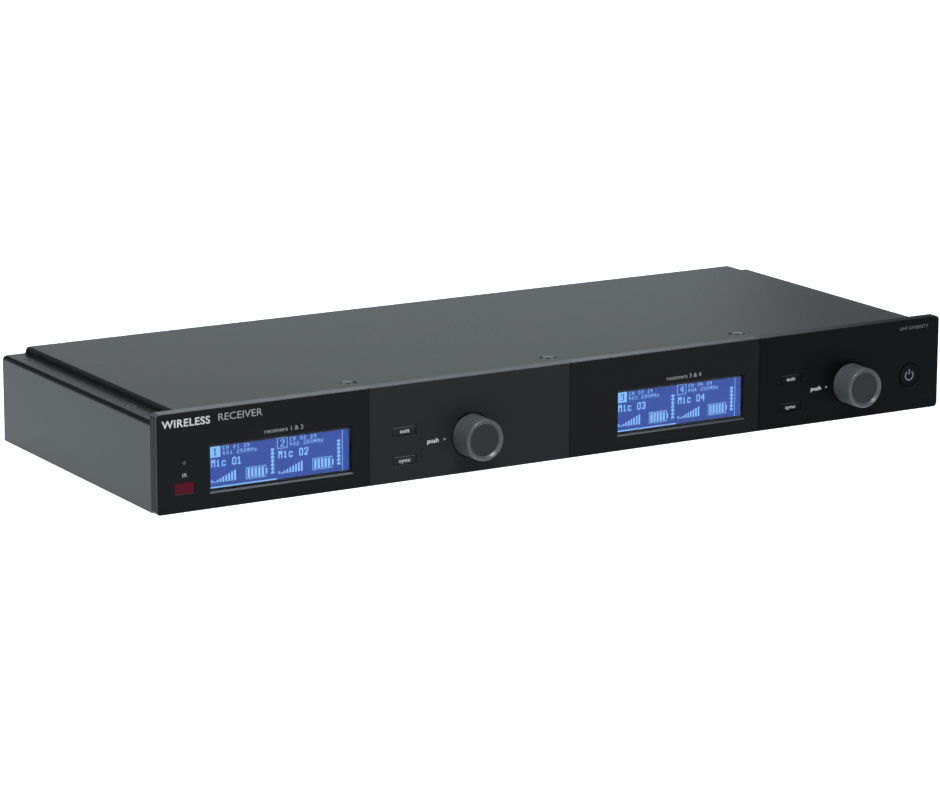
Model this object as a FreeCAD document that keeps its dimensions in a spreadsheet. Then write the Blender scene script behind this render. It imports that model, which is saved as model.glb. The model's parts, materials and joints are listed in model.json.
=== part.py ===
"""Full-width digital wireless receiver with two displays, two push knobs and five buttons.

Millimetres. X runs left to right seen from the front, Y runs from the front panel (minus) to
the rear panel (plus), Z is up. The origin is the centre of the underside.
"""
import FreeCAD, Part
import math
import os
import Sketcher
from FreeCAD import Placement, Rotation, Vector

doc = FreeCAD.newDocument("receiver")
sheet = doc.addObject("Spreadsheet::Sheet", "Sizes")


# ---------------------------------------------------------------- driving dimensions

class Size:
    """A length that carries both its number and its spreadsheet formula."""

    def __init__(self, number, text):
        self.number = number
        self.text = text

    def __add__(self, other):
        other = as_size(other)
        return Size(self.number + other.number, f"({self.text} + {other.text})")

    def __sub__(self, other):
        other = as_size(other)
        return Size(self.number - other.number, f"({self.text} - {other.text})")

    def __rsub__(self, other):
        return as_size(other) - self

    def __mul__(self, factor):
        return Size(self.number * factor, f"({self.text} * {factor})")

    def __truediv__(self, factor):
        return Size(self.number / factor, f"({self.text} / {factor})")

    def __neg__(self):
        return Size(-self.number, f"(0 - {self.text})")

    __radd__ = __add__
    __rmul__ = __mul__


def as_size(value):
    return value if isinstance(value, Size) else Size(value, f"({value})")


def number(value):
    return value.number if isinstance(value, Size) else value


next_row = 1


def driving(alias, value):
    """Put one driving dimension in the sheet and return it as a Size."""
    global next_row
    sheet.set(f"A{next_row}", alias)
    sheet.set(f"B{next_row}", str(value))
    sheet.setAlias(f"B{next_row}", alias)
    next_row += 1
    return Size(value, f"Sizes.{alias}")


unit_width = driving("unit_width", 393)
unit_depth = driving("unit_depth", 150)
panel_height = driving("panel_height", 42)
panel_depth = driving("panel_depth", 5)
panel_wall = driving("panel_wall", 2)
panel_corner = driving("panel_corner", 2)
panel_edge = driving("panel_edge", 0.6)
seam_width = driving("seam_width", 1.2)
seam_depth = driving("seam_depth", 0.5)

sheet_thick = driving("sheet_thick", 1.2)
case_inset = driving("case_inset", 0.3)
fit_gap = driving("fit_gap", 0.2)
cover_top = driving("cover_top", 40.7)
ledge_top = driving("ledge_top", 38)
ledge_width = driving("ledge_width", 11.2)
bend_outside = driving("bend_outside", 2)
bend_inside = driving("bend_inside", 0.8)
joggle_outside = driving("joggle_outside", 0.6)
joggle_inside = driving("joggle_inside", 1.8)
flange_width = driving("flange_width", 14)
ledge_screw_inset = driving("ledge_screw_inset", 6.7)
ledge_screw_front = driving("ledge_screw_front", -39)
ledge_screw_pitch = driving("ledge_screw_pitch", 100)
cover_screw_front = driving("cover_screw_front", 18)

display_offset = driving("display_offset", 57.4)
display_level = driving("display_level", 16.7)
window_width = driving("window_width", 66.8)
window_height = driving("window_height", 20.6)
window_bevel = driving("window_bevel", 0.7)
screen_width = driving("screen_width", 64.4)
screen_height = driving("screen_height", 17.4)
lens_thick = driving("lens_thick", 0.8)
glass_thick = driving("glass_thick", 1.8)

knob_offset = driving("knob_offset", 147.6)
knob_level = driving("knob_level", 16.1)
knob_radius = driving("knob_radius", 9.1)
knob_stand = driving("knob_stand", 11.6)
knob_taper = driving("knob_taper", 0.2)
rim_radius = driving("rim_radius", 7.8)
dish_radius = driving("dish_radius", 9.9)
dish_depth = driving("dish_depth", 1)
shaft_radius = driving("shaft_radius", 3)

button_offset = driving("button_offset", 16.8)
exit_level = driving("exit_level", 21.8)
sync_level = driving("sync_level", 9.2)
button_width = driving("button_width", 11.1)
button_height = driving("button_height", 3.7)
button_gap = driving("button_gap", 0.2)
power_place = driving("power_place", 180.5)
power_level = driving("power_level", 16)
power_radius = driving("power_radius", 5.1)
power_dish = driving("power_dish", 6.1)

ir_place = driving("ir_place", -183.8)
ir_level = driving("ir_level", 10.1)
ir_width = driving("ir_width", 8.6)
ir_height = driving("ir_height", 4.7)
light_level = driving("light_level", 20.8)
light_radius = driving("light_radius", 0.75)

board_thick = driving("board_thick", 1.6)
board_level = driving("board_level", 5.2)
spacer_length = driving("spacer_length", 6.5)

socket_level = driving("socket_level", 20.5)
socket_pitch = driving("socket_pitch", 52)
first_socket = driving("first_socket", -138)
jack_step = driving("jack_step", 25)
jack_bore = driving("jack_bore", 3.25)
jack_bore_depth = driving("jack_bore_depth", 29)
socket_bore = driving("socket_bore", 8.1)
antenna_level = driving("antenna_level", 14.5)
antenna_barrel = driving("antenna_barrel", 4.8)
inlet_place = driving("inlet_place", 148)
network_place = driving("network_place", 101)
screw_shank = driving("screw_shank", 1.45)
screw_hole = driving("screw_hole", 1.5)
clear_hole = driving("clear_hole", 1.7)
doc.recompute()

half_width = unit_width / 2
front = -unit_depth / 2
back = unit_depth / 2
wall_back = front + panel_wall
carrier_front = front + panel_depth
carrier_back = carrier_front + sheet_thick
board_front = carrier_back + spacer_length
board_back = board_front + board_thick
rear_inside = back - sheet_thick
board_top = board_level + board_thick
step_edge = half_width - ledge_width
case_edge = half_width - case_inset
tray_edge = case_edge - sheet_thick - fit_gap
SIDES = ("left", "right")


def section_left(side):
    """Left edge of the half of the front panel that a side's display and knob sit in."""
    return -half_width if side == "left" else half_width * 0


def display_x(side):
    return section_left(side) + display_offset


def knob_x(side):
    return section_left(side) + knob_offset


def button_x(side):
    return section_left(side) + half_width / 2 + button_offset


# ---------------------------------------------------------------- modelling helpers

subparts = []
part_count = 0


def fresh(kind, hint):
    """A new document object with a plain numbered name."""
    global part_count
    part_count += 1
    return doc.addObject(kind, f"{hint}_{part_count}")


def bind(thing, prop, value):
    """Set a property from a number, or tie it to the sheet when it is a Size."""
    if isinstance(value, Size):
        thing.setExpression(prop, value.text)
    elif "." in prop:
        thing.setExpression(prop, str(value))
    else:
        setattr(thing, prop, value)


def place(thing, x, y, z):
    bind(thing, "Placement.Base.x", as_size(x))
    bind(thing, "Placement.Base.y", as_size(y))
    bind(thing, "Placement.Base.z", as_size(z))
    return thing


def block(centre_x, y_from, z_from, width, depth, height):
    """A box centred in X that starts at y_from and z_from."""
    solid = fresh("Part::Box", "block")
    bind(solid, "Length", as_size(width))
    bind(solid, "Width", as_size(depth))
    bind(solid, "Height", as_size(height))
    return place(solid, centre_x - as_size(width) / 2, y_from, z_from)


def slab(centre_x, centre_z, y_from, y_to, width, height):
    """A box centred in X and Z between two Y planes."""
    return block(centre_x, y_from, centre_z - as_size(height) / 2, width, y_to - as_size(y_from), height)


TURN = {
    "x": Rotation(Vector(0, 1, 0), 90),
    "y": Rotation(Vector(1, 0, 0), -90),
    "z": Rotation(),
}


def rod(axis, x, y, z, radius, length):
    """A cylinder that starts at the given point and runs along +axis."""
    solid = fresh("Part::Cylinder", "rod")
    bind(solid, "Radius", as_size(radius))
    bind(solid, "Height", as_size(length))
    solid.Placement = Placement(Vector(), TURN[axis])
    return place(solid, x, y, z)


def cone(axis, x, y, z, start_radius, end_radius, length):
    solid = fresh("Part::Cone", "cone")
    bind(solid, "Radius1", as_size(start_radius))
    bind(solid, "Radius2", as_size(end_radius))
    bind(solid, "Height", as_size(length))
    solid.Placement = Placement(Vector(), TURN[axis])
    return place(solid, x, y, z)


def hexagon(x, y, z, across_flats, length):
    """A hexagonal prism along +Y, such as a nut blank."""
    solid = fresh("Part::Prism", "hexagon")
    solid.Polygon = 6
    bind(solid, "Circumradius", across_flats / math.sqrt(3))
    bind(solid, "Height", as_size(length))
    solid.Placement = Placement(Vector(), TURN["y"])
    return place(solid, x, y, z)


def gathered(solids, kind):
    if len(solids) == 1:
        return solids[0]
    joined = fresh(kind, "joined")
    if kind == "Part::Compound":
        joined.Links = solids
    else:
        joined.Shapes = solids
    return joined


def fuse(*solids):
    return gathered(list(solids), "Part::MultiFuse")


def group(solids):
    """Separate solids that share one node."""
    return gathered(list(solids), "Part::Compound")


def cut(base, *tools):
    result = fresh("Part::Cut", "cut")
    result.Base = base
    result.Tool = group(tools)
    return result


def subpart(label, thing):
    thing.Label = label
    subparts.append(thing)
    return thing


# PartDesign helpers

def new_body(hint):
    return fresh("PartDesign::Body", hint)


def origin_plane(body, role):
    return next(item for item in body.Origin.OriginFeatures if item.Role == role)


def new_sketch(body, role, offset=0):
    """A sketch on one of the body's own origin planes, moved along the plane's normal."""
    sketch = body.newObject("Sketcher::SketchObject", "sketch")
    sketch.AttachmentSupport = [(origin_plane(body, role), "")]
    sketch.MapMode = "FlatFace"
    bind(sketch, "AttachmentOffset.Base.z", as_size(offset))
    return sketch


def hold(sketch, kind, element, point, value):
    """Hold one coordinate of a sketch point at a distance from the origin."""
    index = sketch.addConstraint(Sketcher.Constraint(kind, -1, 1, element, point, number(value)))
    if isinstance(value, Size):
        sketch.setExpression(f"Constraints[{index}]", value.text)


def outline(sketch, corners):
    """A closed outline with straight sides through the given corners."""
    first = sketch.GeometryCount
    spots = [Vector(number(x), number(y), 0) for x, y in corners]
    count = len(spots)
    for index in range(count):
        side = Part.LineSegment(spots[index], spots[(index + 1) % count])
        sketch.addGeometry(side, False)
    for index in range(count):
        following = first + (index + 1) % count
        sketch.addConstraint(Sketcher.Constraint("Coincident", first + index, 2, following, 1))
    for index, (x, y) in enumerate(corners):
        hold(sketch, "DistanceX", first + index, 1, x)
        hold(sketch, "DistanceY", first + index, 1, y)


def rectangle(sketch, centre_x, centre_y, width, height):
    left, right = centre_x - as_size(width) / 2, centre_x + as_size(width) / 2
    low, high = centre_y - as_size(height) / 2, centre_y + as_size(height) / 2
    outline(sketch, [(left, low), (right, low), (right, high), (left, high)])


def circle(sketch, centre_x, centre_y, radius):
    index = sketch.GeometryCount
    spot = Vector(number(centre_x), number(centre_y), 0)
    sketch.addGeometry(Part.Circle(spot, Vector(0, 0, 1), number(radius)), False)
    size = sketch.addConstraint(Sketcher.Constraint("Radius", index, number(radius)))
    if isinstance(radius, Size):
        sketch.setExpression(f"Constraints[{size}]", radius.text)
    hold(sketch, "DistanceX", index, 3, centre_x)
    hold(sketch, "DistanceY", index, 3, centre_y)


def pad(body, sketch, length, backwards=False):
    feature = body.newObject("PartDesign::Pad", "pad")
    feature.Profile = sketch
    bind(feature, "Length", as_size(length))
    feature.Reversed = backwards
    return feature


def pocket(body, sketch, depth, backwards=False):
    """Cut a sketch's outline away, and check that something was cut."""
    doc.recompute()
    before = body.Shape.Volume
    feature = body.newObject("PartDesign::Pocket", "pocket")
    feature.Profile = sketch
    bind(feature, "Length", as_size(depth))
    feature.Reversed = backwards
    doc.recompute()
    if body.Shape.Volume > before - 0.001:
        raise ValueError(f"{body.Name}: {feature.Name} cuts nothing")
    return feature


def revolve(body, sketch):
    """Turn a profile about the sketch's own upright axis."""
    feature = body.newObject("PartDesign::Revolution", "revolution")
    feature.Profile = sketch
    feature.ReferenceAxis = (sketch, ["V_Axis"])
    feature.Angle = 360
    return feature


def dress(body, kind, chosen, size):
    """Fillet or chamfer the edges that the test picks."""
    doc.recompute()
    base = body.Tip
    names = [f"Edge{i + 1}" for i, edge in enumerate(base.Shape.Edges) if chosen(edge)]
    feature = body.newObject(f"PartDesign::{kind}", kind.lower())
    feature.Base = (base, names)
    bind(feature, "Radius" if kind == "Fillet" else "Size", size)
    return feature


def runs_along(edge, direction):
    first, last = edge.Vertexes[0].Point, edge.Vertexes[-1].Point
    span = last - first
    return span.Length > 0.01 and abs(abs(span.normalize().dot(direction)) - 1) < 1e-6


def along_y_at(corners):
    """A test for edges along Y that pass through one of the given X, Z corners."""
    wanted = [(number(x), number(z)) for x, z in corners]

    def test(edge):
        middle = edge.CenterOfMass
        near = any(abs(middle.x - x) < 0.01 and abs(middle.z - z) < 0.01 for x, z in wanted)
        return near and runs_along(edge, Vector(0, 1, 0))
    return test


def mirrored(corners):
    return corners + [(-x, z) for x, z in corners]


# ---------------------------------------------------------------- screws and nuts

def pan_screw(axis, x, y, z, length, head_radius=2.8, head_height=1.8, turn=1):
    """Pan-head screw whose head stands on the given point, with a cross recess.

    turn is 1 when the shank runs along +axis from the point, and -1 when it runs the other way.
    """
    shape = {"x": (1, 0, 0), "y": (0, 1, 0), "z": (0, 0, 1)}[axis]
    step = [part * turn for part in shape]
    head_start = [part * -head_height if turn > 0 else 0 for part in shape]
    shank_start = [0 if turn > 0 else part * -length for part in shape]
    head = rod(axis, x + head_start[0], y + head_start[1], z + head_start[2], head_radius, head_height)
    shank = rod(axis, x + shank_start[0], y + shank_start[1], z + shank_start[2], screw_shank, length)
    slot_depth = head_height * 0.6
    slots = []
    for across in range(3):
        if shape[across]:
            continue
        spans = [0.8, 0.8, 0.8]
        spans[across] = 3.2
        spans["xyz".index(axis)] = slot_depth
        centre = [-part * (head_height - slot_depth / 2) for part in step]
        slots.append(block(x + centre[0], y + centre[1] - spans[1] / 2, z + centre[2] - spans[2] / 2, *spans))
    return cut(fuse(head, shank), *slots)


def flat_screw(x, y, z, length, turn=1, head_radius=2.75):
    """Countersunk screw along Z with its head flush at z; turn 1 points down, -1 points up."""
    head_height = head_radius - 1.5
    if turn > 0:
        head = cone("z", x, y, z - head_height, screw_shank, head_radius, head_height)
        shank = rod("z", x, y, z - length, screw_shank, length - head_height)
        slot_z = z - 0.7
    else:
        head = cone("z", x, y, z, head_radius, screw_shank, head_height)
        shank = rod("z", x, y, z + head_height, screw_shank, length - head_height)
        slot_z = z
    slots = [block(x, y - 1.5, slot_z, 0.7, 3.0, 0.7), block(x, y - 0.35, slot_z, 3.0, 0.7, 0.7)]
    return cut(fuse(head, shank), *slots)


LEDGE_SCREWS = [(side * 1.0, row) for side in (-1, 1) for row in (0, 1)]
COVER_SCREW_XS = [half_width * share for share in (-0.5, 0, 0.5)]
BOTTOM_SCREWS = [(x, y) for x in (-150, 0, 150) for y in (-62, 68)]
cover_screw_y = front + cover_screw_front
cover_screw_seat = cover_top - 0.45


def ledge_screw_spot(side, row):
    return (half_width - ledge_screw_inset) * side, ledge_screw_pitch * row + ledge_screw_front


# ---------------------------------------------------------------- sheet-metal case

def make_top_cover():
    low = 0.3
    body = new_body("cover_body")
    inner = case_edge - sheet_thick
    inner_step = step_edge - sheet_thick
    outer_path = [(case_edge, low), (case_edge, ledge_top), (step_edge, ledge_top), (step_edge, cover_top)]
    inner_path = [
        (inner, low), (inner, ledge_top - sheet_thick),
        (inner_step, ledge_top - sheet_thick), (inner_step, cover_top - sheet_thick)]
    left_outer = [(-x, z) for x, z in outer_path]
    left_inner = [(-x, z) for x, z in reversed(inner_path)]
    section = new_sketch(body, "XZ_Plane", -back)
    outline(section, left_outer + outer_path[::-1] + inner_path + left_inner)
    pad(body, section, unit_depth - panel_depth - fit_gap)
    convex = mirrored([(case_edge, ledge_top), (step_edge, cover_top)])
    convex_inside = mirrored([(inner, ledge_top - sheet_thick), (inner_step, cover_top - sheet_thick)])
    dress(body, "Fillet", along_y_at(convex), bend_outside)
    dress(body, "Fillet", along_y_at(convex_inside), bend_inside)
    dress(body, "Fillet", along_y_at(mirrored([(step_edge, ledge_top)])), joggle_outside)
    dress(body, "Fillet", along_y_at(mirrored([(inner_step, ledge_top - sheet_thick)])), joggle_inside)
    tools = []
    for side, row in LEDGE_SCREWS:
        x, y = ledge_screw_spot(side, row)
        sink = cone("z", x, y, ledge_top - 0.95, clear_hole, 2.65, 0.95)
        tools.append(fuse(rod("z", x, y, ledge_top - 3, clear_hole, 5), sink))
    for x in COVER_SCREW_XS:
        dimple = cone("z", x, cover_screw_y, cover_screw_seat, 2.85, 4.0, 0.45)
        sink = cone("z", x, cover_screw_y, cover_screw_seat - 0.75, 2.1, 2.85, 0.75)
        tools.append(fuse(dimple, sink))
    subpart("top_cover", cut(body, *tools))


def make_base_tray():
    body = new_body("tray_body")
    wall_top = ledge_top - sheet_thick - fit_gap
    inner = tray_edge - sheet_thick
    flange_end = tray_edge - flange_width
    right = [
        (tray_edge, as_size(0)), (tray_edge, wall_top), (flange_end, wall_top),
        (flange_end, wall_top - sheet_thick), (inner, wall_top - sheet_thick), (inner, sheet_thick)]
    section = new_sketch(body, "XZ_Plane", -(rear_inside - fit_gap))
    outline(section, right + [(-x, z) for x, z in reversed(right)])
    pad(body, section, rear_inside - fit_gap - carrier_front)
    outside = mirrored([(tray_edge, as_size(0)), (tray_edge, wall_top)])
    inside = mirrored([(inner, sheet_thick), (inner, wall_top - sheet_thick)])
    dress(body, "Fillet", along_y_at(outside), bend_outside)
    dress(body, "Fillet", along_y_at(inside), bend_inside)
    tools = []
    for side, row in LEDGE_SCREWS:
        x, y = ledge_screw_spot(side, row)
        tools.append(rod("z", x, y, ledge_top - 5, screw_hole, 5))
    for x, y in BOTTOM_SCREWS:
        tools.append(cone("z", x, y, 0, 2.85, 1.6, 1.2))
    subpart("base_tray", cut(body, *tools))


def stepped_outline(edge, low, shoulder, shoulder_level):
    """Upright plate that fits inside the cover: wide below the ledge, narrower above it."""
    under_cover = cover_top - sheet_thick - fit_gap
    right = [(edge, low), (edge, shoulder_level), (shoulder, shoulder_level), (shoulder, under_cover)]
    return right + [(-x, z) for x, z in reversed(right)]


OUTPUTS = range(4)


def socket_x(channel):
    return first_socket + socket_pitch * channel


def jack_x(channel):
    return socket_x(channel) + jack_step


ANTENNA_XS = (-184, -164, 74, 184)
SOCKET_SCREWS = ((-9.5, 12), (9.5, -12))
INLET_SCREW_REACH = 20


def make_rear_panel():
    body = new_body("rear_body")
    face = new_sketch(body, "XZ_Plane", -back)
    shoulder = step_edge - sheet_thick - bend_outside
    shoulder_level = ledge_top - sheet_thick - fit_gap * 2
    outline(face, stepped_outline(tray_edge, as_size(0.2), shoulder, shoulder_level))
    pad(body, face, sheet_thick)
    flange = new_sketch(body, "XZ_Plane", -back)
    rectangle(flange, as_size(0), as_size(1.95), 380, 1.2)
    pad(body, flange, 12)
    holes = new_sketch(body, "XZ_Plane", -back)
    for channel in OUTPUTS:
        circle(holes, socket_x(channel), socket_level, 12)
        circle(holes, jack_x(channel), socket_level, 4.6)
        for dx, dz in SOCKET_SCREWS:
            circle(holes, socket_x(channel) + dx, socket_level + dz, screw_hole)
    for x in ANTENNA_XS:
        circle(holes, as_size(x), antenna_level, antenna_barrel + 0.1)
    rectangle(holes, inlet_place, socket_level, 28, 20.6)
    for reach in (-INLET_SCREW_REACH, INLET_SCREW_REACH):
        circle(holes, inlet_place + reach, socket_level, screw_hole)
    rectangle(holes, network_place, as_size(13.6), 16.6, 13.8)
    pocket(body, holes, sheet_thick, backwards=True)
    tools = [rod("z", x, y, 0.5, screw_hole, 4) for x, y in BOTTOM_SCREWS if y > 0]
    subpart("rear_panel", cut(body, *tools))


PANEL_SCREWS = [(x, 35.2) for x in (-160, -75, 0, 75, 160)] + [(x, 5.6) for x in (-92, -16, 16, 105)]


def make_front_carrier():
    body = new_body("carrier_body")
    face = new_sketch(body, "XZ_Plane", -carrier_front)
    edge = tray_edge - sheet_thick - fit_gap * 2
    shoulder = tray_edge - flange_width - fit_gap * 2
    shoulder_level = ledge_top - sheet_thick * 2 - fit_gap * 2
    outline(face, stepped_outline(edge, as_size(1.4), shoulder, shoulder_level))
    pad(body, face, sheet_thick, backwards=True)
    flanges = new_sketch(body, "XZ_Plane", -carrier_front)
    under_cover = cover_top - sheet_thick - fit_gap
    rectangle(flanges, as_size(0), as_size(1.95), 380, 1.2)
    pad(body, flanges, 14, backwards=True)
    shelf = new_sketch(body, "XZ_Plane", -carrier_front)
    rectangle(shelf, as_size(0), under_cover - sheet_thick / 2, 360, sheet_thick)
    pad(body, shelf, 20, backwards=True)
    holes = new_sketch(body, "XZ_Plane", -carrier_front)
    for side in SIDES:
        rectangle(holes, display_x(side), display_level, 74, 25)
        circle(holes, knob_x(side), knob_level, 3.6)
        for level in (exit_level, sync_level):
            circle(holes, button_x(side), level, 2.2)
    circle(holes, power_place, power_level, 2.2)
    circle(holes, ir_place, light_level, 1.3)
    rectangle(holes, ir_place, ir_level, 9, 6)
    for x, z in PANEL_SCREWS:
        circle(holes, as_size(x), as_size(z), clear_hole)
    pocket(body, holes, sheet_thick)
    tools = [rod("z", x, y, 0.5, screw_hole, 4) for x, y in BOTTOM_SCREWS if y < 0]
    tools += [rod("z", x, cover_screw_y, 36, 2.6, 4) for x in COVER_SCREW_XS]
    subpart("front_carrier", cut(body, *tools))


def make_case_screws():
    cover = [flat_screw(x, cover_screw_y, cover_screw_seat, 5) for x in COVER_SCREW_XS]
    subpart("cover_screws", group(cover))
    ledge = []
    for side, row in LEDGE_SCREWS:
        x, y = ledge_screw_spot(side, row)
        ledge.append(flat_screw(x, y, ledge_top - 0.1, 5, head_radius=2.35))
    subpart("ledge_screws", group(ledge))
    bottom = [flat_screw(x, y, 0.05, 3.5, turn=-1) for x, y in BOTTOM_SCREWS]
    subpart("bottom_screws", group(bottom))


def make_cover_nuts():
    """Clinch nuts pressed up into the carrier's shelf under each cover screw."""
    nuts = []
    shelf_top = cover_top - sheet_thick - fit_gap
    for x in COVER_SCREW_XS:
        collar = rod("z", x, cover_screw_y, shelf_top - sheet_thick, 2.6, sheet_thick - 0.25)
        ring = rod("z", x, cover_screw_y, shelf_top - sheet_thick - 2, 3.5, 2)
        hole = rod("z", x, cover_screw_y, shelf_top - 5, screw_hole, 6)
        nuts.append(cut(fuse(collar, ring), hole))
    subpart("cover_nuts", group(nuts))


# ---------------------------------------------------------------- front panel

def make_front_panel():
    middle = panel_height / 2
    body = new_body("panel_body")
    face = new_sketch(body, "XZ_Plane", -front)
    rectangle(face, as_size(0), middle, unit_width, panel_height)
    pad(body, face, panel_depth, backwards=True)
    corners = [(half_width, as_size(0)), (half_width, panel_height)]
    dress(body, "Fillet", along_y_at(mirrored(corners)), panel_corner)
    front_y = number(front)
    on_front = lambda edge: abs(edge.CenterOfMass.y - front_y) < 0.001
    dress(body, "Fillet", on_front, panel_edge)
    hollow = new_sketch(body, "XZ_Plane", -carrier_front)
    rectangle(hollow, as_size(0), middle, unit_width - panel_wall * 2, panel_height - panel_wall * 2)
    pocket(body, hollow, panel_depth - panel_wall, backwards=True)
    seams = new_sketch(body, "XY_Plane")
    for share in (-0.5, 0, 0.5):
        x = half_width * share
        outline(seams, [
            (x - seam_width / 2, front - 0.1), (x + seam_width / 2, front - 0.1), (x, front + seam_depth)])
    pocket(body, seams, panel_height, backwards=True)
    bosses = [rod("y", x, wall_back - 0.5, z, 3, panel_depth - panel_wall + 0.5) for x, z in PANEL_SCREWS]
    tools = [rod("y", x, wall_back, z, screw_hole, 4) for x, z in PANEL_SCREWS]
    for side in SIDES:
        tools += display_opening(display_x(side))
        tools.append(rod("y", knob_x(side), front - 1, knob_level, dish_radius, dish_depth + 1))
        tools.append(rod("y", knob_x(side), front - 1, knob_level, 6.5, 5))
        for level in (exit_level, sync_level):
            opening = button_gap * 2
            tools.append(slab(
                button_x(side), level, front - 1, wall_back + 1, button_width + opening, button_height + opening))
    tools.append(cone("y", power_place, front - 0.01, power_level, power_dish, power_radius + button_gap, 0.7))
    tools.append(rod("y", power_place, front - 1, power_level, power_radius + button_gap, 5))
    tools.append(slab(ir_place, ir_level, front - 1, wall_back + 1, ir_width + 0.2, ir_height + 0.2))
    tools.append(rod("y", ir_place, front - 1, light_level, light_radius + 0.05, 5))
    subpart("front_panel", cut(fuse(body, *bosses), *tools))


def display_opening(x):
    """Window with a bevelled front edge and a pocket behind for the lens."""
    mouth = new_body("window_body")
    lip = panel_wall / 2
    sketch = new_sketch(mouth, "XZ_Plane", -(front - 0.01))
    rectangle(sketch, x, display_level, window_width, window_height)
    pad(mouth, sketch, window_bevel, backwards=True)
    back_face = number(front - 0.01 + window_bevel)
    on_back = lambda edge: abs(edge.CenterOfMass.y - back_face) < 0.001
    dress(mouth, "Chamfer", on_back, window_bevel - 0.02)
    shrink = window_bevel * 2
    through = slab(x, display_level, front, wall_back + 1, window_width - shrink, window_height - shrink)
    lens_pocket = slab(x, display_level, front + lip, wall_back + 1, window_width + 4, window_height + 4)
    return [fuse(mouth, through), lens_pocket]


def make_ir_and_light():
    pane = slab(ir_place, ir_level, front + 0.25, wall_back + 0.5, ir_width, ir_height)
    flange = slab(ir_place, ir_level, wall_back, wall_back + 0.8, ir_width + 2, ir_height + 2)
    subpart("ir_window", fuse(pane, flange))
    sensor = slab(ir_place, ir_level, board_front - 3.2, board_front, 5, 4.4)
    eye = rod("y", ir_place, board_front - 5, ir_level, 1.6, 2)
    subpart("ir_sensor", fuse(sensor, eye))
    pipe = rod("y", ir_place, front + 0.1, light_level, light_radius, board_front - front - 1.3)
    collar = rod("y", ir_place, wall_back, light_level, 1.8, 0.8)
    subpart("status_light", fuse(pipe, collar))


# ---------------------------------------------------------------- displays

def make_display(side):
    x, z = display_x(side), display_level
    lens_front = front + panel_wall / 2
    bezel_front = lens_front + lens_thick + 0.05
    glass_front = bezel_front + 0.35
    glass_back = glass_front + glass_thick
    lens = slab(x, z, lens_front, lens_front + lens_thick, window_width + 3.6, window_height + 3.6)
    subpart(f"display_lens_{side}", lens)
    can = slab(x, z, bezel_front, glass_back + 1.5, window_width + 3.6, window_height + 2.6)
    inside = slab(x, z, bezel_front + 0.3, glass_back + 3, window_width + 2.8, window_height + 1.8)
    opening = slab(x, z, bezel_front - 1, glass_front + 1, screen_width, screen_height)
    subpart(f"lcd_bezel_{side}", cut(can, fuse(inside, opening)))
    subpart(f"lcd_glass_{side}", slab(x, z, glass_front, glass_back, window_width + 2.6, window_height + 1.6))
    light_box = slab(x, z, glass_back + 0.1, board_front, window_width + 2.6, window_height + 1.6)
    recess = slab(x, z, glass_back, glass_back + 2.2, screen_width, screen_height)
    subpart(f"backlight_{side}", cut(light_box, recess))


# ---------------------------------------------------------------- knobs and encoders


def make_knob(side):
    """Hollow turned knob with a rounded front edge and a face sunk inside a sloped rim."""
    base = front + 0.3
    tip = front - knob_stand
    face = tip + 1
    skirt = knob_radius - 1.6
    bore_end = tip + 3
    body = new_body("knob_body")
    profile = new_sketch(body, "XY_Plane")
    outline(profile, [
        (as_size(0), bore_end), (shaft_radius, bore_end), (shaft_radius, wall_back - 0.2),
        (as_size(4.5), wall_back - 0.2), (as_size(4.5), tip + 4), (skirt, tip + 4), (skirt, base),
        (knob_radius, base), (knob_radius - knob_taper, tip), (rim_radius, tip), (rim_radius - 0.9, face),
        (as_size(0), face)])
    revolve(body, profile)
    tip_y = number(tip)
    rim_length = 2 * math.pi * number(knob_radius - knob_taper)
    on_rim = lambda edge: abs(edge.CenterOfMass.y - tip_y) < 0.01 and abs(edge.Length - rim_length) < 0.1
    dress(body, "Fillet", on_rim, 1.05)
    place(body, knob_x(side), 0, knob_level)
    subpart(f"knob_{side}", body)


def make_encoder(side):
    x, z = knob_x(side), knob_level
    shaft_front = front - knob_stand + 3
    shaft = rod("y", x, shaft_front, z, shaft_radius, board_front - 0.7 - shaft_front)
    subpart(f"encoder_shaft_{side}", shaft)
    ring = rod("y", x, board_front - 4.2, z, 5.3, 3)
    ring_hole = rod("y", x, board_front - 5, z, shaft_radius + 0.05, 5)
    subpart(f"encoder_rotor_{side}", cut(ring, ring_hole))
    case = slab(x, z, carrier_back, board_front, 12.4, 13.2)
    bushing = rod("y", x, wall_back + 0.5, z, 3.5, carrier_back - wall_back)
    chamber = rod("y", x, board_front - 4.5, z, 5.6, 6)
    shaft_hole = rod("y", x, front - 1, z, shaft_radius + 0.06, 14)
    subpart(f"encoder_housing_{side}", cut(fuse(case, bushing), fuse(chamber, shaft_hole)))


def make_encoder_nuts():
    nuts = []
    for side in SIDES:
        blank = hexagon(knob_x(side), carrier_front - 2, knob_level, 10, 2)
        hole = rod("y", knob_x(side), carrier_front - 3, knob_level, 3.55, 4)
        nuts.append(cut(blank, hole))
    subpart("encoder_nuts", group(nuts))


# ---------------------------------------------------------------- buttons

def plunger(x, z):
    return rod("y", x, wall_back + 0.5, z, 1.5, board_front - 4.1 - wall_back)


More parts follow.
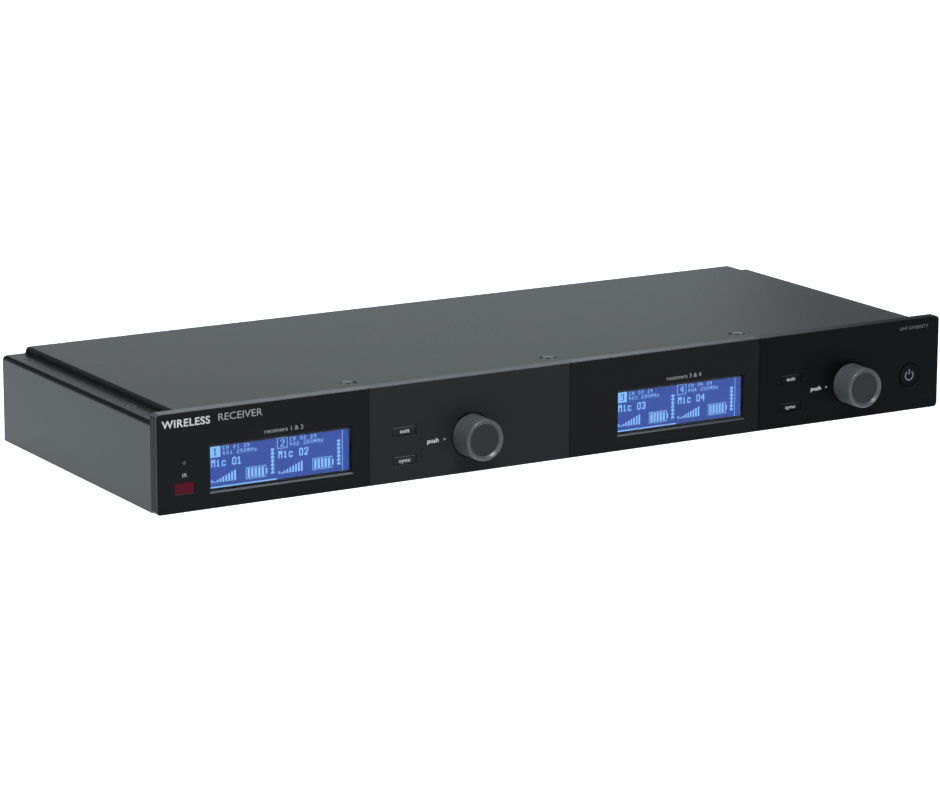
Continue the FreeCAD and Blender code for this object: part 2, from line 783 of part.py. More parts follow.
def make_key(label, x, z):
    """Rounded rectangular cap with a bevelled face, a retaining flange and a plunger."""
    cap = slab(x, z, front, wall_back + 0.5, button_width, button_height)
    softened = fresh("Part::Fillet", "softened")
    softened.Base = cap
    doc.recompute()
    edges = enumerate(cap.Shape.Edges)
    softened.Edges = [(i + 1, 0.7, 0.7) for i, edge in edges if runs_along(edge, Vector(0, 1, 0))]
    bevelled = fresh("Part::Chamfer", "bevelled")
    bevelled.Base = softened
    doc.recompute()
    front_y = number(front)
    edges = enumerate(softened.Shape.Edges)
    bevelled.Edges = [
        (i + 1, 0.35, 0.35) for i, edge in edges if abs(edge.BoundBox.YMax - front_y) < 0.001]
    flange = slab(x, z, wall_back + 0.1, wall_back + 0.9, button_width + 1.6, button_height + 1.6)
    subpart(label, fuse(bevelled, flange, plunger(x, z)))


def make_power_button():
    x, z = power_place, power_level
    cap = rod("y", x, front + 0.2, z, power_radius, panel_wall + 0.2)
    hollow_radius = 40
    hollow = fresh("Part::Sphere", "hollow")
    hollow.Radius = hollow_radius
    place(hollow, x, front + 0.5 - hollow_radius, z)
    flange = rod("y", x, wall_back + 0.1, z, power_radius + 1, 0.8)
    subpart("power_button", fuse(cut(cap, hollow), flange, plunger(x, z)))


def make_buttons():
    for side in SIDES:
        make_key(f"exit_button_{side}", button_x(side), exit_level)
        make_key(f"sync_button_{side}", button_x(side), sync_level)
    make_power_button()
    switches = []
    spots = [(button_x(side), level) for side in SIDES for level in (exit_level, sync_level)]
    for x, z in spots + [(power_place, power_level)]:
        case = slab(x, z, board_front - 2.6, board_front, 6, 6)
        dome = cone("y", x, board_front - 3.0, z, 1.6, 2.4, 0.4)
        switches.append(fuse(case, dome))
    subpart("tact_switches", group(switches))


# ---------------------------------------------------------------- control boards

SPACER_SPOTS = ((10.5, 32.2), (98.5, 30.2), (188.5, 32.2), (98.5, 6.4), (188.5, 6.4))


def make_control_boards():
    spacers = []
    for side in SIDES:
        left = section_left(side)
        board = slab(left + half_width / 2, 19.5, board_front, board_back, 188, 31)
        drills = [rod("y", left + x, board_front - 1, z, screw_hole, 4) for x, z in SPACER_SPOTS]
        subpart(f"control_board_{side}", cut(board, *drills))
        for x, z in SPACER_SPOTS:
            post = rod("y", left + x, carrier_back, z, 2.5, spacer_length)
            bore = rod("y", left + x, carrier_back - 1, z, screw_hole, spacer_length + 2)
            spacers.append(cut(post, bore))
    subpart("board_spacers", group(spacers))


def make_ribbon_cables():
    """Flat cables from each control board, bent down on to the main board."""
    ribbons = []
    reach, rise, thick = -46, 15, 0.4
    for x in (-70, 40):
        body = new_body("ribbon_body")
        path = new_sketch(body, "YZ_Plane", x - 9)
        outline(path, [
            (board_back, as_size(rise)), (as_size(reach), as_size(rise)), (as_size(reach), board_top),
            (as_size(reach - thick), board_top), (as_size(reach - thick), as_size(rise - thick)),
            (board_back, as_size(rise - thick))])
        pad(body, path, 18)
        doc.recompute()
        for corner, bend in (((reach, rise), 3), ((reach - thick, rise - thick), 2.6)):
            at_bend = lambda edge, spot=corner: (
                abs(edge.CenterOfMass.y - spot[0]) < 0.01 and abs(edge.CenterOfMass.z - spot[1]) < 0.01)
            dress(body, "Fillet", at_bend, bend)
        ribbons.append(body)
    subpart("ribbon_cables", group(ribbons))


# ---------------------------------------------------------------- main electronics

STANDOFFS = [(x, y) for x in (-180, -60, 60) for y in (-40, 32)]
STANDOFFS += [(x, y) for x in (130, 182) for y in (-40, 26)]
TUNER_XS = (-150, -95, -30, 25)


def make_main_board():
    wide = block(-35, -52, board_level, 306, 118, board_thick)
    strip = block(152, 40, board_level, 76, 26, board_thick)
    drills = [rod("z", x, y, board_level - 1, screw_hole, 4) for x, y in STANDOFFS[:6]]
    subpart("main_board", cut(fuse(wide, strip), *drills))
    power = block(156, -46, board_level, 64, 80, board_thick)
    drills = [rod("z", x, y, board_level - 1, screw_hole, 4) for x, y in STANDOFFS[6:]]
    subpart("power_board", cut(power, *drills))
    posts = []
    for x, y in STANDOFFS:
        post = rod("z", x, y, sheet_thick, 3, board_level - sheet_thick)
        posts.append(cut(post, rod("z", x, y, sheet_thick - 1, screw_hole, 8)))
    subpart("board_standoffs", group(posts))


def shield_can(x, y, width, depth, height):
    """Folded screening can, open below."""
    outer = block(x, y, board_top, width, depth, height)
    inner = block(x, y + 0.3, board_top - 1, width - 0.6, depth - 0.6, height + 0.7)
    return cut(outer, inner)


def make_radio_parts():
    subpart("tuner_shields", group([shield_can(x, -24, 42, 34, 8) for x in TUNER_XS]))
    subpart("splitter_shield", shield_can(-150, 38, 48, 18, 7))
    subpart("processor", block(85, -12, board_top, 16, 16, 1.4))
    base = block(85, -18, board_top + 1.4, 28, 28, 2.4)
    fins = [block(85 + 3.2 * (i - 4), -18, board_top + 3, 1.2, 28, 8) for i in range(9)]
    subpart("heat_sink", fuse(base, *fins))


def make_power_parts():
    core = block(160, -26, board_top, 26, 20, 17)
    winding = block(160, -29, board_top + 3.5, 14, 26, 10)
    subpart("transformer", fuse(core, winding))
    cans = [rod("z", 136, y, board_top, 5.5, 18) for y in (-20, -4, 12)]
    subpart("capacitors", group(cans))


def make_inner_screws():
    screws = []
    for x, z in PANEL_SCREWS:
        screws.append(pan_screw("y", x, carrier_back, z, 4, turn=-1))
    for side in SIDES:
        for x, z in SPACER_SPOTS:
            screws.append(pan_screw("y", section_left(side) + x, board_back, z, 5, turn=-1))
    for x, y in STANDOFFS:
        screws.append(pan_screw("z", x, y, board_top, 4.5, turn=-1))
    subpart("inner_screws", group(screws))


# ---------------------------------------------------------------- rear connectors

def make_output_sockets():
    shells, pins = [], []
    for channel in OUTPUTS:
        x, z = socket_x(channel), socket_level
        plate = slab(x, z, back, back + 1.6, 26, 31)
        rounded = fresh("Part::Fillet", "rounded")
        rounded.Base = plate
        doc.recompute()
        edges = enumerate(plate.Shape.Edges)
        rounded.Edges = [(i + 1, 2.5, 2.5) for i, edge in edges if runs_along(edge, Vector(0, 1, 0))]
        barrel = rod("y", x, back - 16, z, 11.8, 16.5)
        collar = cone("y", x, back + 1.5, z, 10.4, 9.6, 1.4)
        cup = rod("y", x, back - 11, z, socket_bore, 20)
        holes = [rod("y", x + dx, back - 1, z + dz, clear_hole, 4) for dx, dz in SOCKET_SCREWS]
        shells.append(cut(fuse(rounded, barrel, collar), cup, *holes))
        for angle in (30, 150, 270):
            pin_x = x + 4 * math.cos(math.radians(angle))
            pin_z = z + 4 * math.sin(math.radians(angle))
            shank = rod("y", pin_x, back - 11, pin_z, 1.2, 8.8)
            tip = cone("y", pin_x, back - 2.2, pin_z, 1.2, 0.6, 0.8)
            pins.append(fuse(shank, tip))
    subpart("output_sockets", group(shells))
    subpart("output_pins", group(pins))


def make_line_jacks():
    jacks, nuts = [], []
    bushing_end = back + 4
    for channel in OUTPUTS:
        x, z = jack_x(channel), socket_level
        housing = block(x, rear_inside - 25, board_top, 15, 24.8, 22)
        bushing = rod("y", x, rear_inside - 1, z, 4.5, bushing_end - rear_inside + 1)
        bore = rod("y", x, bushing_end - jack_bore_depth, z, jack_bore, jack_bore_depth + 1)
        jacks.append(cut(fuse(housing, bushing), bore))
        blank = hexagon(x, back, z, 12, 2.2)
        nuts.append(cut(blank, rod("y", x, back - 1, z, 4.55, 6)))
    subpart("line_jacks", group(jacks))
    subpart("jack_nuts", group(nuts))


def make_antenna_jacks():
    jacks, nuts, insulators = [], [], []
    barrel_end = back + 11
    cup_floor = back + 2.5
    for x in ANTENNA_XS:
        z = antenna_level
        housing = block(x, rear_inside - 13, board_top, 13, 12.8, 14)
        barrel = rod("y", x, rear_inside - 1, z, antenna_barrel - 0.05, barrel_end - rear_inside + 1)
        lugs = rod("x", x - 5.55, back + 7, z, 0.95, 11.1)
        cup = rod("y", x, cup_floor, z, 4.05, 12)
        jacks.append(cut(fuse(housing, barrel, lugs), cup))
        blank = hexagon(x, back, z, 12.7, 2.2)
        nuts.append(cut(blank, rod("y", x, back - 1, z, antenna_barrel, 5)))
        tube = rod("y", x, cup_floor, z, 2.4, 7)
        insulators.append(cut(tube, rod("y", x, cup_floor + 1, z, 0.7, 8)))
    subpart("antenna_jacks", group(jacks))
    subpart("antenna_nuts", group(nuts))
    subpart("antenna_insulators", group(insulators))


def make_mains_inlet():
    """Three-blade mains inlet with a screwed flange."""
    x, z = inlet_place, socket_level
    flange = slab(x, z, back, back + 2.4, 50, 23)
    case = slab(x, z, back - 24, back + 1, 27.6, 20.2)
    cavity = new_body("inlet_body")
    face = new_sketch(cavity, "XZ_Plane", -(back + 3))
    half_w, half_h, bevel = 12.4, 8.6, 4
    outline(face, [
        (x - half_w, z - half_h), (x + half_w, z - half_h), (x + half_w, z + half_h - bevel),
        (x + half_w - bevel, z + half_h), (x - half_w + bevel, z + half_h), (x - half_w, z + half_h - bevel)])
    pad(cavity, face, 18)
    holes = []
    for reach in (-INLET_SCREW_REACH, INLET_SCREW_REACH):
        holes.append(rod("y", x + reach, back - 1, z, clear_hole, 5))
    subpart("ac_inlet", cut(fuse(flange, case), cavity, *holes))
    blades = []
    for dx, dz in ((-7, -2), (7, -2), (0, 2)):
        blades.append(slab(x + dx, z + dz, back - 15, back - 2, 2, 4))
    subpart("inlet_pins", group(blades))


def make_network_jack():
    x = network_place
    shell = block(x, back - 18, board_top + 0.1, 16.2, 18.3, 13.3)
    cavity = block(x, back - 13, board_top + 2.2, 11.8, 14, 7.2)
    latch = block(x, back - 8, board_top + 1.0, 6.4, 9, 2.5)
    subpart("network_jack", cut(shell, fuse(cavity, latch)))


def make_connector_screws():
    screws = []
    for channel in OUTPUTS:
        for dx, dz in SOCKET_SCREWS:
            screws.append(pan_screw("y", socket_x(channel) + dx, back + 1.6, socket_level + dz, 4,
                                    head_radius=2.6, head_height=1.5, turn=-1))
    for reach in (-INLET_SCREW_REACH, INLET_SCREW_REACH):
        screws.append(pan_screw("y", inlet_place + reach, back + 2.4, socket_level, 5,
                                head_radius=2.6, head_height=1.5, turn=-1))
    subpart("connector_screws", group(screws))


# ---------------------------------------------------------------- build, check and export

def build():
    make_top_cover()
    make_base_tray()
    make_rear_panel()
    make_front_carrier()
    make_front_panel()
    make_case_screws()
    make_cover_nuts()
    make_ir_and_light()
    for side in SIDES:
        make_display(side)
        make_knob(side)
        make_encoder(side)
    make_encoder_nuts()
    make_buttons()
    make_control_boards()
    make_ribbon_cables()
    make_main_board()
    make_radio_parts()
    make_power_parts()
    make_inner_screws()
    make_output_sockets()
    make_line_jacks()
    make_antenna_jacks()
    make_mains_inlet()
    make_network_jack()
    make_connector_screws()
    doc.recompute()


def check_and_export():
    for item in doc.Objects:
        if "Invalid" in item.State or "Error" in item.State:
            raise ValueError(f"{item.Label}: {item.State}")
    for thing in subparts:
        if thing.Shape.isNull() or not thing.Shape.isValid():
            raise ValueError(f"{thing.Label}: shape isn't valid")
    os.makedirs("parts", exist_ok=True)
    for thing in subparts:
        thing.Shape.exportStep(f"parts/{thing.Label}.step")
        print(f"{thing.Label}: {len(thing.Shape.Solids)} solids, {thing.Shape.Volume:.1f} mm3")


build()
check_and_export()
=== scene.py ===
"""Finish, lettering, lit screens and studio for the full-width wireless receiver.

Lengths are in metres in the part's own frame: X to the right, Y to the rear, Z up, with the
origin at the centre of the underside. MM turns millimetres into metres.
"""
import json
import math

import bmesh
import bpy
from mathutils import Euler, Matrix, Vector


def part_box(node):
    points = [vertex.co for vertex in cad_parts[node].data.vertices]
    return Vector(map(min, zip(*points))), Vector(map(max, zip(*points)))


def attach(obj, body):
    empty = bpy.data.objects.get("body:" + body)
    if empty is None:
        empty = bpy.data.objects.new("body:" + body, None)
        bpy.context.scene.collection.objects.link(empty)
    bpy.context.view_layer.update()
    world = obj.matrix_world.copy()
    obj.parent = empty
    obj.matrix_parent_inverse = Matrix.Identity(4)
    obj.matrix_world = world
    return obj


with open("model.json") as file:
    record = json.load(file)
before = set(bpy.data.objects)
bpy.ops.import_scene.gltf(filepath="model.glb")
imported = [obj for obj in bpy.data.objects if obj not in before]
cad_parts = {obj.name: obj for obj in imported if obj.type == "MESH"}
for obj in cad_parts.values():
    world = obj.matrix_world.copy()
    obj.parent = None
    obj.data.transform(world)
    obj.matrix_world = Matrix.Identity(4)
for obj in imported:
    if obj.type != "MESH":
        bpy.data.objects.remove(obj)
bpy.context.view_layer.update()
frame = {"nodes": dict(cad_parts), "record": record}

MM = 0.001
scene = bpy.context.scene


# ---------------------------------------------------------------- places, read from the frame

def middle(node):
    low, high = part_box(node)
    return (low + high) / 2


panel_low, panel_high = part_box("front_panel")
FRONT = panel_low.y
HALF_WIDTH = panel_high.x
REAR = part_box("rear_panel")[1].y


# ---------------------------------------------------------------- material helpers

NOISE_SPAN = (0.25, 0.75)


def srgb(red, green, blue):
    """Linear colour with alpha from 0-255 screen values."""
    def linear(value):
        value /= 255
        return value / 12.92 if value <= 0.04045 else ((value + 0.055) / 1.055) ** 2.4
    return (linear(red), linear(green), linear(blue), 1.0)


def tinted(colour, factor):
    return tuple(channel * factor for channel in colour[:3]) + (1.0,)


class Paint:
    """A Principled material with short calls for the patterns that drive it."""

    def __init__(self, name, colour, roughness, metallic=0.0, specular=0.5):
        self.material = bpy.data.materials.new(name)
        self.material.use_nodes = True
        self.tree = self.material.node_tree
        self.shader = self.tree.nodes["Principled BSDF"]
        self.set("Base Color", colour)
        self.set("Roughness", roughness)
        self.set("Metallic", metallic)
        self.set("Specular IOR Level", specular)

    def set(self, socket, value):
        self.shader.inputs[socket].default_value = value

    def drive(self, socket, source):
        self.link(source, self.shader.inputs[socket])

    def node(self, kind, **settings):
        made = self.tree.nodes.new(kind)
        for key, value in settings.items():
            if key in made.inputs:
                made.inputs[key].default_value = value
            else:
                setattr(made, key, value)
        return made

    def link(self, source, target):
        self.tree.links.new(source, target)

    def place(self, stretch=(1, 1, 1)):
        """The piece's own coordinates in metres, scaled along each axis."""
        where = self.node("ShaderNodeTexCoord").outputs["Object"]
        if stretch == (1, 1, 1):
            return where
        mapping = self.node("ShaderNodeMapping", Scale=stretch)
        self.link(where, mapping.inputs["Vector"])
        return mapping.outputs["Vector"]

    def component(self, vector, letter):
        axes = self.node("ShaderNodeSeparateXYZ")
        self.link(vector, axes.inputs[0])
        return axes.outputs[letter]

    def axis(self, letter):
        """One coordinate of the surface point, in metres."""
        return self.component(self.place(), letter)

    def facing(self, letter, low, high):
        """0 to 1 as one component of the surface's normal goes from low to high."""
        normal = self.node("ShaderNodeTexCoord").outputs["Normal"]
        return self.remap(self.component(normal, letter), (low, high), (0.0, 1.0))

    def compute(self, operation, *terms):
        """A maths node; each term is a number or another node's output."""
        made = self.node("ShaderNodeMath", operation=operation)
        for socket, term in zip(made.inputs, terms):
            if isinstance(term, (int, float)):
                socket.default_value = term
            else:
                self.link(term, socket)
        return made.outputs[0]

    def remap(self, value, span, result):
        """Carry a value from one span to another, held at the ends."""
        made = self.node("ShaderNodeMapRange")
        limits = ("From Min", "From Max", "To Min", "To Max")
        for socket, limit in zip(limits, (*span, *result)):
            made.inputs[socket].default_value = limit
        self.link(value, made.inputs["Value"])
        return made.outputs["Result"]

    def noise(self, size, detail=3.0, stretch=(1, 1, 1)):
        """Noise whose blotches are about size metres across."""
        texture = self.node("ShaderNodeTexNoise", Scale=1 / size, Detail=detail)
        self.link(self.place(stretch), texture.inputs["Vector"])
        return texture.outputs["Fac"]

    def blend_colours(self, factor, first, second):
        """A mix of two colours, each a tuple or another node's output."""
        mix = self.node("ShaderNodeMix", data_type="RGBA")
        for socket, colour in ((mix.inputs[6], first), (mix.inputs[7], second)):
            if isinstance(colour, tuple):
                socket.default_value = colour
            else:
                self.link(colour, socket)
        self.link(factor, mix.inputs[0])
        return mix.outputs[2]

    def colour_from(self, factor, first, second):
        self.drive("Base Color", self.blend_colours(factor, first, second))

    def roughness_from(self, factor, low, high):
        self.drive("Roughness", self.remap(factor, NOISE_SPAN, (low, high)))

    def bump(self, height, strength, distance):
        """Surface relief of at most distance metres."""
        relief = self.node("ShaderNodeBump", Strength=strength, Distance=distance)
        self.link(height, relief.inputs["Height"])
        self.drive("Normal", relief.outputs["Normal"])


def textured(name, colour, roughness, grain, depth, metallic=0.0, specular=0.5):
    """A finish with fine grain, slight tone variation and uneven gloss."""
    mottle, uneven, blotch = 0.12, 0.05, 60
    paint = Paint(name, colour, roughness, metallic, specular)
    fine = paint.noise(grain, 4.0)
    broad = paint.noise(grain * blotch, 2.0)
    paint.colour_from(broad, tinted(colour, 1 - mottle), tinted(colour, 1 + mottle))
    paint.roughness_from(fine, roughness - uneven, roughness + uneven)
    paint.bump(fine, 0.35, depth)
    return paint


def brushed(name, colour, roughness, stretch, depth=0.004 * MM):
    """Bare metal with fine parallel brush lines."""
    line_pitch, blotch = 0.4 * MM, 9 * MM
    paint = Paint(name, colour, roughness, metallic=1.0)
    lines = paint.noise(line_pitch, 3.0, stretch)
    blotches = paint.noise(blotch, 2.0)
    paint.colour_from(blotches, tinted(colour, 0.88), tinted(colour, 1.06))
    paint.roughness_from(lines, roughness - 0.06, roughness + 0.1)
    paint.bump(lines, 0.25, depth)
    return paint


def glowing(name, colour, strength, tone=0.08):
    """A self-lit surface whose brightness drifts slightly across it."""
    unlit, drift_size = 0.2, 14 * MM
    paint = Paint(name, tinted(colour, unlit), 0.6, specular=0.1)
    drift = paint.noise(drift_size, 1.0)
    glow = paint.blend_colours(drift, tinted(colour, 1 - tone), tinted(colour, 1 + tone))
    paint.drive("Emission Color", glow)
    paint.set("Emission Strength", strength)
    return paint


# ---------------------------------------------------------------- special finishes

def case_finish():
    """Fine black powder coat, duller on the step along either side of the cover."""
    step_place, ledge_margin, dulling = 183.8 * MM, 0.25 * MM, 0.6
    paint = textured(
        "case_powder_coat", (0.0042, 0.0048, 0.0053, 1), 0.3, 0.3 * MM, 0.016 * MM, specular=0.2)
    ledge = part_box("ledge_screws")[1].z + ledge_margin
    above = paint.compute("GREATER_THAN", paint.axis("Z"), ledge)
    beside = paint.compute("GREATER_THAN", paint.compute("ABSOLUTE", paint.axis("X")), step_place)
    step = paint.compute("MULTIPLY", above, beside)
    gloss = paint.shader.inputs["Roughness"].links[0].from_socket
    paint.drive("Roughness", paint.compute("MULTIPLY_ADD", step, dulling, gloss))
    return paint


# Tones of the four quarters, left to right: the display quarters match, while the control
# quarters carry painted light, the left one painted paler and the right one darker.
QUARTER_TONES_AND_LIGHT = (0.0058, 0.0135, 0.006, 0.0024)
# Painted highlight on the top edges and left end of the panel and keys: its colour, then where
# along the width it fades and how strong it is there.
EDGE_HIGHLIGHT_TONE = 0.075
HIGHLIGHT_FADE = (0.55, 0.92)
HIGHLIGHT_STRENGTHS = (1.0, 0.08)
SMOOTH, GRAINED = 0.27, 0.46


def quarter_tones(paint, along):
    """Each quarter's even tone from left to right, with painted light and shade in the control
    quarters.
    """
    ramp = paint.node("ShaderNodeValToRGB")
    tones = ramp.color_ramp
    tones.interpolation = "CONSTANT"
    ready_stops = len(tones.elements)
    for quarter, tone in enumerate(QUARTER_TONES_AND_LIGHT):
        stop = tones.elements[quarter] if quarter < ready_stops else tones.elements.new(1)
        stop.position = quarter / 4
        stop.color = (tone * 0.94, tone, tone * 1.08, 1)
    paint.link(along, ramp.inputs[0])
    return ramp.outputs[0]


def pale_edges(paint, along):
    """Painted highlight: 1 on the top edge, fading rightwards, and on the left end's edge; 0
    elsewhere.
    """
    end_width = 3 * MM
    end = paint.compute("LESS_THAN", paint.axis("X"), -HALF_WIDTH + end_width)
    turned = paint.compute(
        "MULTIPLY", paint.facing("X", -0.3, -0.65), paint.facing("X", -0.98, -0.8))
    left_end_highlight = paint.compute("MULTIPLY", turned, end)
    top_highlight = paint.compute(
        "MULTIPLY", paint.facing("Z", 0.3, 0.65), paint.facing("X", -0.6, -0.2))
    faded_highlight = paint.compute("MULTIPLY", top_highlight, paint.remap(along, HIGHLIGHT_FADE, HIGHLIGHT_STRENGTHS))
    return paint.compute("MAXIMUM", faded_highlight, left_end_highlight)


def panel_finish(name):
    """Moulding: smooth display quarters, grained control quarters, painted highlights on the
    edges.
    """
    grain, depth = 0.25 * MM, 0.02 * MM
    paint = Paint(name, (0.006, 0.006, 0.006, 1), SMOOTH, specular=0.04)
    along = paint.compute("MULTIPLY_ADD", paint.axis("X"), 1 / (2 * HALF_WIDTH), 0.5)
    # Colour of the painted edge highlight.
    highlight_colour = (EDGE_HIGHLIGHT_TONE * 0.94, EDGE_HIGHLIGHT_TONE, EDGE_HIGHLIGHT_TONE * 1.06, 1)
    paint.colour_from(pale_edges(paint, along), quarter_tones(paint, along), highlight_colour)
    share = paint.compute("FRACT", paint.compute("MULTIPLY", along, 2))
    control = paint.compute("GREATER_THAN", share, 0.5)
    paint.drive("Roughness", paint.compute("MULTIPLY_ADD", control, GRAINED - SMOOTH, SMOOTH))
    paint.bump(paint.compute("MULTIPLY", paint.noise(grain, 4.0), control), 0.35, depth)
    return paint


def knob_finish():
    """Satin grey on the side and rim of either knob, black on its sunk face."""
    side_colour, face_colour = (0.05, 0.0525, 0.054, 1), (0.0012, 0.0014, 0.0015, 1)
    face_radius, grain = 6.9 * MM, 0.2 * MM
    knob = middle("knob_left")
    paint = Paint("knob_satin", side_colour, 0.34, specular=0.26)
    halves = paint.compute("MULTIPLY_ADD", paint.axis("X"), 1 / HALF_WIDTH, 1)
    across = paint.compute(
        "MULTIPLY_ADD", paint.compute("FRACT", halves), HALF_WIDTH, -(knob.x + HALF_WIDTH))
    up = paint.compute("SUBTRACT", paint.axis("Z"), knob.z)
    squares = paint.compute(
        "ADD", paint.compute("MULTIPLY", across, across), paint.compute("MULTIPLY", up, up))
    side = paint.compute("GREATER_THAN", paint.compute("SQRT", squares), face_radius)
    paint.colour_from(side, face_colour, side_colour)
    paint.roughness_from(paint.noise(grain, 4.0), 0.3, 0.38)
    paint.bump(paint.noise(grain, 3.0), 0.3, 0.01 * MM)
    return paint


def lens_finish():
    """Clear window with an anti-glare coat."""
    paint = Paint("clear_lens", (0.95, 0.97, 1.0, 1), 0.04)
    paint.set("Transmission Weight", 1.0)
    paint.set("IOR", 1.15)
    paint.roughness_from(paint.noise(3 * MM, 2.0), 0.02, 0.06)
    return paint


def ir_finish():
    """Dark red filter moulding, slightly cloudy."""
    paint = Paint("infrared_filter", srgb(64, 10, 22), 0.25, specular=0.05)
    cloud, grain = paint.noise(2.2 * MM, 2.0), paint.noise(0.3 * MM, 2.0)
    paint.colour_from(cloud, srgb(58, 5, 19), srgb(80, 10, 28))
    paint.bump(grain, 0.2, 0.01 * MM)
    return paint


def board_finish():
    """Solder mask over routed copper, with a fine weave below."""
    paint = Paint("circuit_board", (0.01, 0.08, 0.035, 1), 0.3)
    cells = paint.node("ShaderNodeTexBrick", Scale=1.0)
    cell_settings = {
        "Color1": (0.008, 0.065, 0.03, 1),
        "Color2": (0.012, 0.085, 0.038, 1),
        "Mortar": (0.03, 0.15, 0.06, 1),
        "Brick Width": 7 * MM,
        "Row Height": 2.5 * MM,
        "Mortar Size": 0.2 * MM,
    }
    for socket, value in cell_settings.items():
        cells.inputs[socket].default_value = value
    paint.link(paint.place(), cells.inputs["Vector"])
    paint.drive("Base Color", cells.outputs["Color"])
    paint.bump(cells.outputs["Fac"], 0.3, 0.03 * MM)
    return paint


def ribbon_finish():
    """Flat cable with its separate conductors side by side along X."""
    conductor_pitch = 1.27 * MM
    paint = Paint("flat_cable", (0.3, 0.31, 0.32, 1), 0.45)
    wave = paint.node("ShaderNodeTexWave", Scale=1 / conductor_pitch / 3, bands_direction="X")
    paint.link(paint.place(), wave.inputs["Vector"])
    paint.colour_from(wave.outputs["Fac"], (0.2, 0.21, 0.22, 1), (0.38, 0.39, 0.4, 1))
    paint.bump(wave.outputs["Fac"], 0.5, 0.1 * MM)
    return paint


# ---------------------------------------------------------------- finish for each material slot

SPECIAL_FINISHES = {
    "case_paint": case_finish,
    "panel_black": lambda: panel_finish("panel_moulding"),
    "button_black": lambda: panel_finish("button_moulding"),
    "knob_black": knob_finish,
    "lens_clear": lens_finish,
    "ir_red": ir_finish,
    "board_green": board_finish,
    "ribbon_grey": ribbon_finish,
}

BLACK = (0.012, 0.0125, 0.0135, 1)

# slot: name, colour, roughness, grain in mm, relief in mm, metallic, specular
TEXTURED_FINISHES = {
    "screw_black": ("black_oxide", (0.02, 0.021, 0.023, 1), 0.34, 0.2, 0.01, 0.0, 0.6),
    "bezel_black": ("bezel_lacquer", (0.006, 0.006, 0.007, 1), 0.45, 0.3, 0.006, 0.0, 0.2),
    "lcd_blue": ("screen_glass", (0.02, 0.04, 0.16, 1), 0.15, 0.4, 0.002, 0.0, 0.3),
    "backlight_white": ("light_box", (0.8, 0.81, 0.83, 1), 0.5, 0.5, 0.01, 0.0, 0.5),
    "light_pipe": ("light_pipe", srgb(60, 63, 66), 0.3, 0.3, 0.004, 0.0, 0.15),
    "sensor_black": ("sensor_moulding", (0.012, 0.008, 0.012, 1), 0.2, 0.5, 0.003, 0.0, 0.5),
    "rotor_plastic": ("rotor_moulding", (0.36, 0.36, 0.34, 1), 0.45, 0.4, 0.01, 0.0, 0.5),
    "switch_plastic": ("switch_moulding", BLACK, 0.4, 0.3, 0.01, 0.0, 0.5),
    "chip_black": ("chip_moulding", BLACK, 0.5, 0.2, 0.01, 0.0, 0.5),
    "sink_aluminium": ("anodised_sink", (0.03, 0.03, 0.034, 1), 0.42, 0.3, 0.01, 0.8, 0.5),
    "core_brown": ("varnished_core", (0.09, 0.06, 0.035, 1), 0.38, 0.6, 0.05, 0.0, 0.5),
    "can_blue": ("can_sleeve", (0.012, 0.02, 0.07, 1), 0.28, 0.8, 0.01, 0.0, 0.5),
    "inlet_black": ("inlet_moulding", BLACK, 0.4, 0.25, 0.015, 0.0, 0.4),
    "socket_nickel": ("satin_nickel", (0.44, 0.44, 0.43, 1), 0.36, 0.3, 0.012, 1.0, 0.5),
    "jack_black": ("jack_moulding", BLACK, 0.42, 0.25, 0.015, 0.0, 0.4),
    "insulator_white": ("fluoropolymer", (0.78, 0.78, 0.76, 1), 0.42, 0.4, 0.006, 0.0, 0.5),
}

ROUND_BRUSH = (1, 1, 12)
LONG_BRUSH = (0.06, 1, 1)
SHAFT_BRUSH = (1, 8, 1)
BLADE_BRUSH = (1, 0.08, 1)

# slot: name, colour, roughness, brush direction, relief in mm
BRUSHED_FINISHES = {
    "steel_plate": ("zinc_plate", (0.5, 0.51, 0.52, 1), 0.38, LONG_BRUSH, 0.001),
    "screw_zinc": ("zinc_fastener", (0.6, 0.61, 0.6, 1), 0.3, ROUND_BRUSH, 0.004),
    "shaft_metal": ("turned_shaft", (0.7, 0.71, 0.72, 1), 0.28, SHAFT_BRUSH, 0.004),
    "encoder_metal": ("pressed_case", (0.56, 0.56, 0.55, 1), 0.32, LONG_BRUSH, 0.004),
    "nut_nickel": ("nickel_plate", (0.62, 0.6, 0.57, 1), 0.24, ROUND_BRUSH, 0.004),
    "spacer_brass": ("turned_brass", (0.72, 0.5, 0.2, 1), 0.28, ROUND_BRUSH, 0.004),
    "shield_tin": ("tin_shield", (0.68, 0.68, 0.66, 1), 0.34, LONG_BRUSH, 0.004),
    "blade_metal": ("plated_blade", (0.7, 0.69, 0.66, 1), 0.22, BLADE_BRUSH, 0.004),
    "pin_metal": ("silvered_pin", (0.82, 0.79, 0.7, 1), 0.22, BLADE_BRUSH, 0.004),
    "network_metal": ("tinned_shell", (0.66, 0.66, 0.65, 1), 0.3, LONG_BRUSH, 0.004),
}


def make_finishes():
    """One finish for each material slot of the record."""
    finishes = {slot: make() for slot, make in SPECIAL_FINISHES.items()}
    for slot, (name, colour, roughness, grain, relief, *gloss) in TEXTURED_FINISHES.items():
        finishes[slot] = textured(name, colour, roughness, grain * MM, relief * MM, *gloss)
    for slot, (name, colour, roughness, brush, relief) in BRUSHED_FINISHES.items():
        finishes[slot] = brushed(name, colour, roughness, brush, relief * MM)
    return finishes


def dress_nodes(finishes):
    slots = {part["node"]: part["material_slot"] for part in frame["record"]["subparts"]}
    for name, piece in frame["nodes"].items():
        for holder in piece.material_slots:
            holder.material = finishes[slots[name]].material


# ---------------------------------------------------------------- mesh helpers

